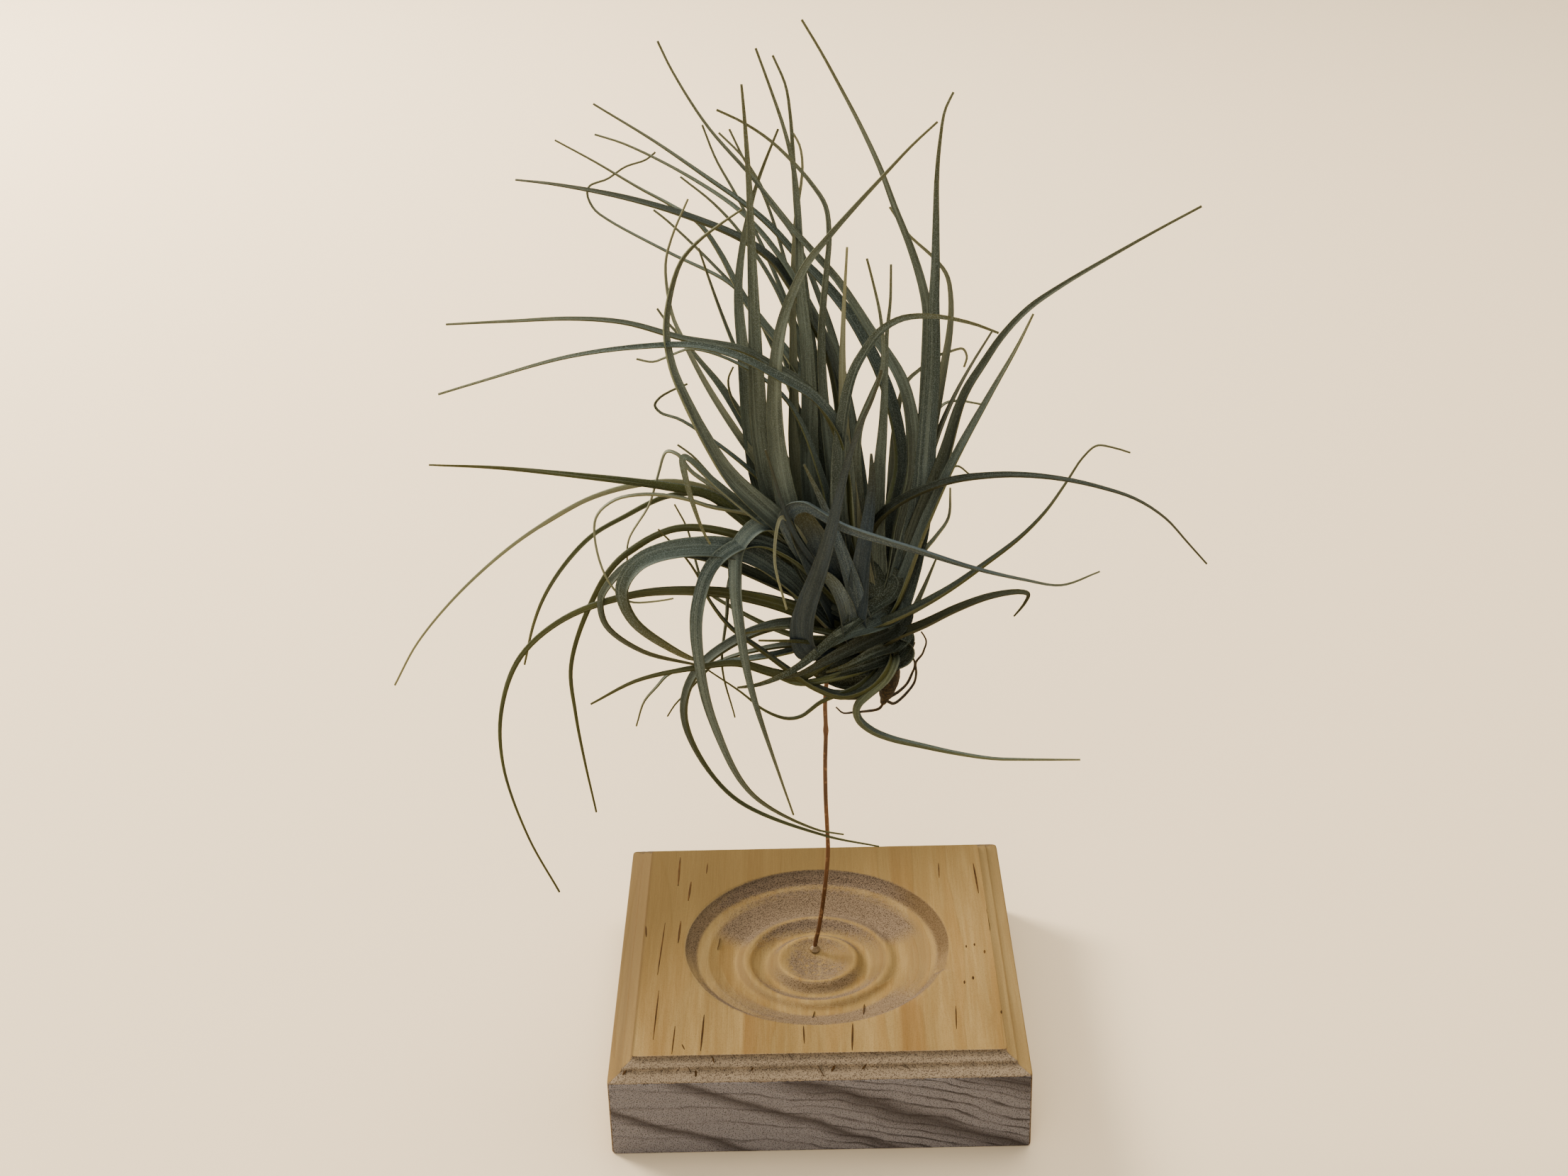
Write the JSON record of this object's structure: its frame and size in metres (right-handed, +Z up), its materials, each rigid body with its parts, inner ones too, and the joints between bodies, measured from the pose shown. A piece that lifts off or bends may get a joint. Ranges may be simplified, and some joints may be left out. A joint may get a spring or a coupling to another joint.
{
  "type": "mounted air plant",
  "caption": "Dark narrow-leaved air plant held on a thin brown wire above a square pine block carved with rings.",
  "frame": {"origin": "middle of the block's underside", "axes": "+Z up, +X to the viewer's right in the picture, +Y away from the viewer"},
  "size_m": [0.1697, 0.103, 0.2289],
  "materials": {
    "pine": "bare planed softwood, end grain grey at the front and back",
    "brown_wire": "satin brown coat",
    "glue": "dried clear glue",
    "leaf": "dark grey green with a fine grey bloom, olive at the edges and tips",
    "dry_brown": "dry fibrous brown"
  },
  "bodies": {
    "root": {"rosette_block": "pine", "wire": "brown_wire", "glue_bead": "glue", "leaf_rosette": "leaf", "dry_stump": "dry_brown"}
  },
  "joints": []
}
